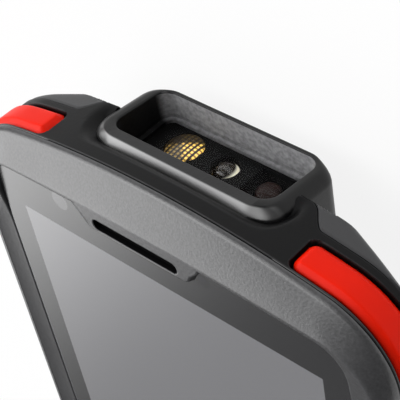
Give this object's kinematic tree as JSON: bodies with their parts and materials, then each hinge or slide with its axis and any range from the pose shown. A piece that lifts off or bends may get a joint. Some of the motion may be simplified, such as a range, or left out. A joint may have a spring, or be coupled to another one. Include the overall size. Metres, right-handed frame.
{
  "type": "portable barcode data terminal",
  "caption": "Rugged handheld barcode terminal: touch screen in an arched frame, scanner hood at its end, orange corner bumpers, sprung keys, hinged battery door and port cover.",
  "frame": {"origin": "middle of the bounding box at the back face that the terminal lies on", "axes": "+Z out of the screen, +Y towards the scanner end, +X to the right seen from the front"},
  "size_m": [0.0816, 0.156, 0.026],
  "materials": {
    "frame_plastic": "fine spark texture, satin",
    "cover_glass": "polished, dark border",
    "display": "dark liquid-crystal panel behind glass",
    "foam": "die-cut foam tape",
    "mid_plastic": "satin moulded",
    "rear_plastic": "fine spark texture",
    "seal_rubber": "silicone",
    "hood_plastic": "fine spark texture, satin",
    "window_glass": "coated, slightly brown",
    "fascia_plastic": "matt",
    "engine_metal": "die cast",
    "lamp_lens": "faceted micro-lens sheet over a gold reflector",
    "dome_lens": "clear dome",
    "brown_lens": "coated brown",
    "orange_rubber": "smooth overmoulded elastomer",
    "black_mesh": "acoustic mesh",
    "speaker_metal": "stamped",
    "camera_black": "coated",
    "indicator_plastic": "frosted light guide",
    "key_plastic": "satin",
    "orange_key": "satin",
    "pin_steel": "ground",
    "flex_gold": "polyimide flex with metal domes",
    "mat_rubber": "silicone",
    "board_green": "solder mask",
    "steel_sheet": "stamped shield",
    "battery_wrap": "moulded pack",
    "gold_contact": "gold plated",
    "door_plastic": "fine spark texture",
    "flap_rubber": "soft moulded",
    "screw_steel": "black zinc",
    "flash_plastic": "diffuser",
    "window_black": "camera window"
  },
  "bodies": {
    "housings": {"front_frame": "frame_plastic", "touch_glass": "cover_glass", "glass_gasket": "foam", "display_module": "display", "mid_housing": "mid_plastic", "rear_housing": "rear_plastic", "housing_seal": "seal_rubber", "scanner_hood": "hood_plastic", "scan_window": "window_glass", "engine_fascia": "fascia_plastic", "scan_engine": "engine_metal", "illumination_lens": "lamp_lens", "aimer_lens": "dome_lens", "imager_lens": "brown_lens", "left_bumper": "orange_rubber", "right_bumper": "orange_rubber", "earpiece_mesh": "black_mesh", "earpiece_speaker": "speaker_metal", "front_camera": "camera_black", "indicator_lens": "indicator_plastic", "rocker_pin": "pin_steel", "left_switches": "flex_gold", "right_switches": "flex_gold", "key_mat": "mat_rubber", "main_board": "board_green", "card_socket": "steel_sheet", "vibration_motor": "steel_sheet", "wireless_antenna": "flex_gold", "battery_pack": "battery_wrap", "battery_contacts": "gold_contact", "door_pins": "pin_steel", "port_pin": "pin_steel", "charge_port": "steel_sheet", "loudspeaker": "steel_sheet", "speaker_mesh": "black_mesh", "rear_camera": "camera_black", "camera_window": "window_black", "camera_flash": "flash_plastic", "charge_contacts": "gold_contact", "housing_screws": "screw_steel"},
    "battery_door": {"battery_door": "door_plastic"},
    "port_cover": {"port_cover": "flap_rubber"},
    "left_scan_key": {"left_scan_key": "key_plastic"},
    "right_scan_key": {"right_scan_key": "key_plastic"},
    "volume_rocker": {"volume_rocker": "key_plastic"},
    "power_key": {"power_key": "key_plastic"},
    "back_key": {"back_key": "key_plastic"},
    "front_scan_key": {"front_scan_key": "orange_key"},
    "menu_key": {"menu_key": "key_plastic"}
  },
  "joints": [
    {"name": "battery_door_hinge", "type": "hinge", "parent": "housings", "child": "battery_door", "pos_m": [0, -0.04, 0.0019], "axis": [-1, 0, 0], "range_deg": [0, 95]},
    {"name": "port_cover_hinge", "type": "hinge", "parent": "housings", "child": "port_cover", "pos_m": [0, -0.0769, 0.01815], "axis": [-1, 0, 0], "range_deg": [0, 90]},
    {"name": "left_scan_press", "type": "slide", "parent": "housings", "child": "left_scan_key", "axis": [1, 0, 0], "range_m": [0, 0.0006], "stiffness_N_per_m": 900},
    {"name": "right_scan_press", "type": "slide", "parent": "housings", "child": "right_scan_key", "axis": [-1, 0, 0], "range_m": [0, 0.0006], "stiffness_N_per_m": 900},
    {"name": "power_press", "type": "slide", "parent": "housings", "child": "power_key", "axis": [-1, 0, 0], "range_m": [0, 0.0006], "stiffness_N_per_m": 900},
    {"name": "volume_rock", "type": "hinge", "parent": "housings", "child": "volume_rocker", "pos_m": [-0.03717, -0.018, 0.0175], "axis": [0, 0, 1], "range_deg": [-2.5, 2.5], "stiffness_Nm_per_rad": 0.12},
    {"name": "back_press", "type": "slide", "parent": "housings", "child": "back_key", "axis": [0, 0, -1], "range_m": [0, 0.0005], "stiffness_N_per_m": 900},
    {"name": "front_scan_press", "type": "slide", "parent": "housings", "child": "front_scan_key", "axis": [0, 0, -1], "range_m": [0, 0.0005], "stiffness_N_per_m": 900},
    {"name": "menu_press", "type": "slide", "parent": "housings", "child": "menu_key", "axis": [0, 0, -1], "range_m": [0, 0.0005], "stiffness_N_per_m": 900}
  ]
}
